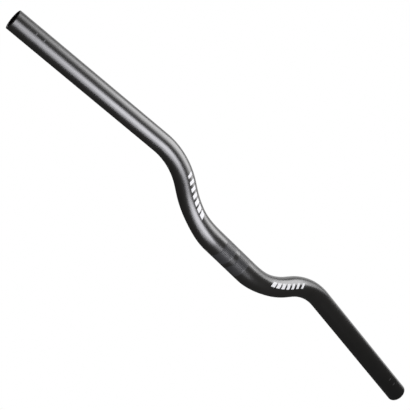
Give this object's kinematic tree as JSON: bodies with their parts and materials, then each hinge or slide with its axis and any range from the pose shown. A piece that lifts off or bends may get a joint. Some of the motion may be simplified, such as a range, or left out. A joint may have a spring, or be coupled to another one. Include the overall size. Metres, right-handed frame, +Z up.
{
  "type": "mountain bike handlebar",
  "caption": "Black riser handlebar for a mountain bike: one bent hollow tube with a thicker clamp zone, raised and swept-back grip ends and open mouths.",
  "frame": {"origin": "on the tube's axis, in the middle of the zone that the stem clamps", "axes": "+X along the clamp zone to the rider's left, +Y back towards the rider, +Z up"},
  "size_m": [0.6534, 0.0577, 0.0658],
  "materials": {
    "black_alloy": "satin"
  },
  "bodies": {
    "root": {"handlebar": "black_alloy"}
  },
  "joints": []
}
